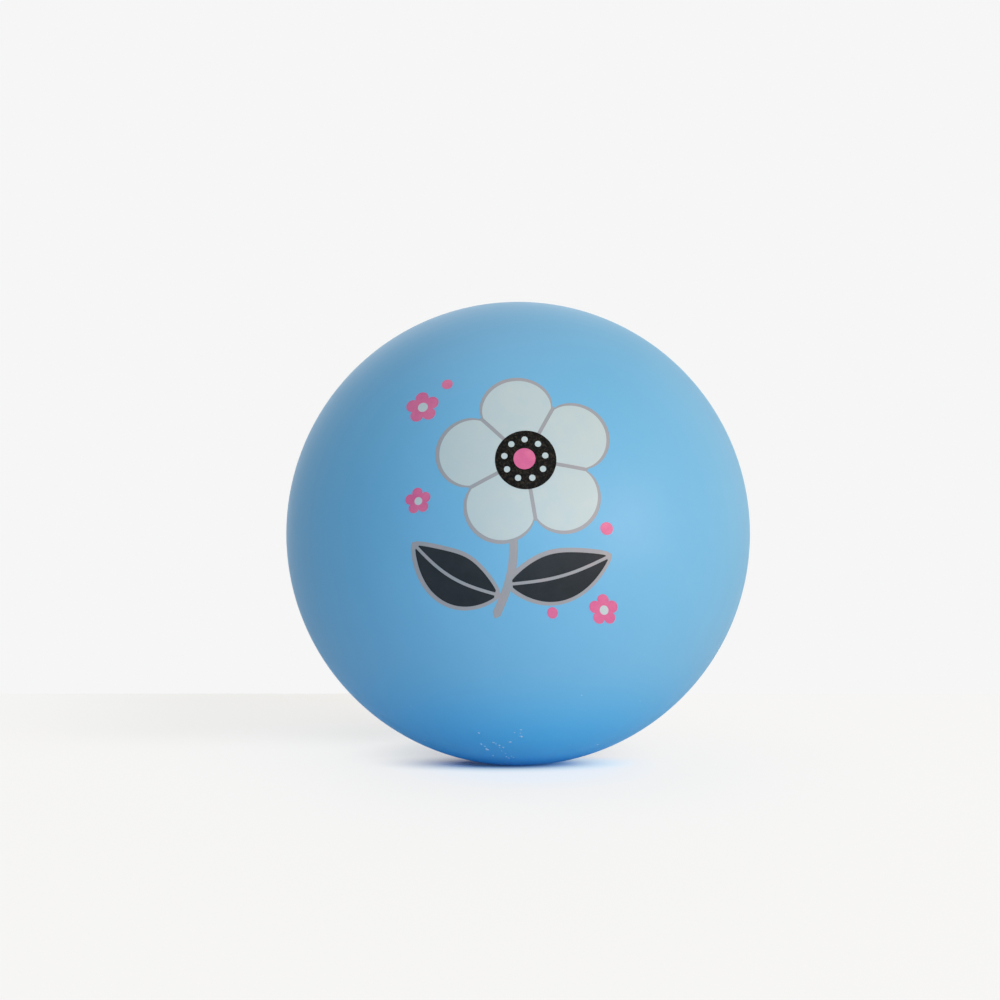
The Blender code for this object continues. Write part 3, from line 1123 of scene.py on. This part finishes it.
# %% White paint
def table_white():
    """White paint, part of whose shade the camera sees as plain backdrop, as in a bright photograph. Round
    the ball it carries painted shade and a painted blue reflection.
    """
    recipe = Recipe("table_white")
    camera_ray = recipe.node("ShaderNodeLightPath", out="Is Camera Ray")
    right = recipe.coordinate("X")
    back = recipe.coordinate("Y")

    def distance_from(centre, half=(1.0, 1.0)):
        across = (right - centre[0]) / half[0]
        along = (back - centre[1]) / half[1]
        return (across * across + along * along) ** 0.5

    distance = distance_from(CONTACT_CENTRE, CONTACT_HALF)
    # away is 0 in the painted shade under the ball and 1 outside it.
    away = recipe.step(distance, CONTACT_CORE, 1.0) ** CONTACT_FADE * (1 - CONTACT_LEAST) + CONTACT_LEAST
    blue_side = 1 - recipe.step(back, *BLUE_BACK) * (1 - recipe.step(right, *BLUE_RIGHT))
    blue_side = blue_side * (1 - recipe.step(back, *BLUE_END))
    painted_halo = blue_side * (1 - recipe.step(distance_from(HALO_CENTRE, HALO_HALF), *HALO_FADE))
    rim = blue_side * (1 - recipe.step(distance, *RIM_FADE)) * recipe.step(right, *RIM_RIGHT)
    painted_rim_blue = recipe.mix(recipe.step(distance, *RIM_LIGHTENS), PAINTED_RIM_DEEP, PAINTED_RIM_LIGHT)
    far = recipe.step(distance_from((0, 0)), *FLOOR_FADE)
    shadow = recipe.step(right, *SHADOW_LEFT) * (1 - recipe.step(right, *SHADOW_RIGHT))
    shadow = shadow * recipe.step(back, *SHADOW_BACK)
    shade = 1 - recipe.step(distance_from(SHADE_CENTRE), *SHADE_FADE)
    shade = shade * recipe.step(back, *SHADE_BACK)
    shade = shade.maths("MAXIMUM", shade, shadow)
    near_share = away * (FLOOR_PLAIN + FLOOR_PLAIN_EXTRA - shade * FLOOR_PLAIN_EXTRA)
    share = near_share + far * (1 - near_share)
    bounce = recipe.mix(recipe.step(right, *BOUNCE_ACROSS), FLOOR_LEFT, FLOOR_RIGHT)
    paint = recipe.mix(camera_ray, bounce, FLOOR_SEEN)
    # Under the ball the paint is a blue that renders as painted shade.
    recipe.set(Base_Color=recipe.mix(away, PAINTED_CONTACT_SHADE, paint), Roughness=FLOOR_ROUGHNESS)
    # The painted part of the open floor is a little darker than the backdrop, so the plain part is brighter.
    glow = recipe.mix((share - FLOOR_PLAIN) / (1 - FLOOR_PLAIN), FLOOR_GLOW, BACKDROP)
    # Painted reflection: the skin's blue painted into the white round the ball.
    glow = recipe.mix(painted_halo, glow, PAINTED_HALO_BLUE)
    glow = recipe.mix(rim, glow, painted_rim_blue)
    plain = recipe.node("ShaderNodeEmission", None, {"Color": glow, "Strength": 1.0})
    painted = Socket(recipe, recipe.shader.outputs[0])
    mixed = recipe.node("ShaderNodeMixShader", None, {0: camera_ray * share, 1: painted, 2: plain})
    recipe.feed(recipe.tree.nodes["Material Output"].inputs["Surface"], mixed)
    return recipe.material


floor.data.materials.append(table_white())
print("table painted")

# %% [markdown]
# ## The light
# A soft window, low on the right, draws the shadow to the left. The wall round it, a lamp in front, the
# ceiling and weak lamps behind and on the left stand for the rest of the room. The world adds an even light,
# and looks like the backdrop to the camera, in reflections and through clear things.

# %% World
WORLD_LEVEL = 0.28
WORLD_TINT = (0.84, 1.0, 1.08, 1.0)
world = bpy.data.worlds.new("white_room")
scene.world = world
room = Tree(world)
room.tree.nodes.clear()
camera_ray = room.node("ShaderNodeLightPath", out="Is Camera Ray")
glossy_ray = room.node("ShaderNodeLightPath", out="Is Glossy Ray")
clear_ray = room.node("ShaderNodeLightPath", out="Is Transmission Ray")
looks = camera_ray.maths("MAXIMUM", camera_ray.maths("MAXIMUM", camera_ray, glossy_ray), clear_ray)
lighting = room.node("ShaderNodeBackground", None, {"Color": WORLD_TINT, "Strength": WORLD_LEVEL})
backdrop = room.node("ShaderNodeBackground", None, {"Color": BACKDROP, "Strength": 1.0})
both = room.node("ShaderNodeMixShader", None, {0: looks, 1: lighting, 2: backdrop})
room.node("ShaderNodeOutputWorld", None, {"Surface": both})
print("world level", WORLD_LEVEL)

# %% Lamps
LAMP_DISTANCE = 1.8
WARM = (1.34, 0.95, 0.66)
COOL = (0.76, 1.0, 1.17)
PLAIN = (1.10, 1.0, 0.92)
# Each lamp has its direction from the ball, the side of its square in metres, how bright its face is, and its
# colour.
LAMPS = {
    "window": ((0.78, -0.60, 0.16), 0.6, 11.0, WARM),
    "window_wall": ((0.75, -0.62, 0.15), 1.5, 1.0, WARM),
    "front": ((0.20, -1.0, 0.15), 1.0, 4.1, COOL),
    "ceiling": ((-0.10, 0.0, 1.0), 1.6, 1.38, PLAIN),
    "back_right": ((0.80, 0.55, 0.30), 1.4, 0.50, PLAIN),
    "back_top": ((0.0, 0.75, 0.65), 1.4, 0.36, PLAIN),
    "back": ((-0.20, 1.0, 0.25), 1.4, 0.65, PLAIN),
    "left": ((-1.0, -0.30, 0.30), 1.4, 0.05, COOL),
}


def lamp(name, direction, size, brightness, colour):
    """A square soft lamp that faces the ball. Its power follows from how bright its face is."""
    direction = Vector(direction).normalized()
    data = bpy.data.lights.new(name, "AREA")
    data.shape = "SQUARE"
    data.size = size
    data.energy = brightness * math.pi * size**2
    data.color = colour
    light = bpy.data.objects.new(name, data)
    light.location = direction * LAMP_DISTANCE
    light.rotation_euler = direction.to_track_quat("Z", "Y").to_euler()
    light.visible_camera = False
    scene.collection.objects.link(light)
    print(f"{name}: {data.energy:.2f} W")


for name, settings in LAMPS.items():
    lamp(name, *settings)

# %% [markdown] ## End
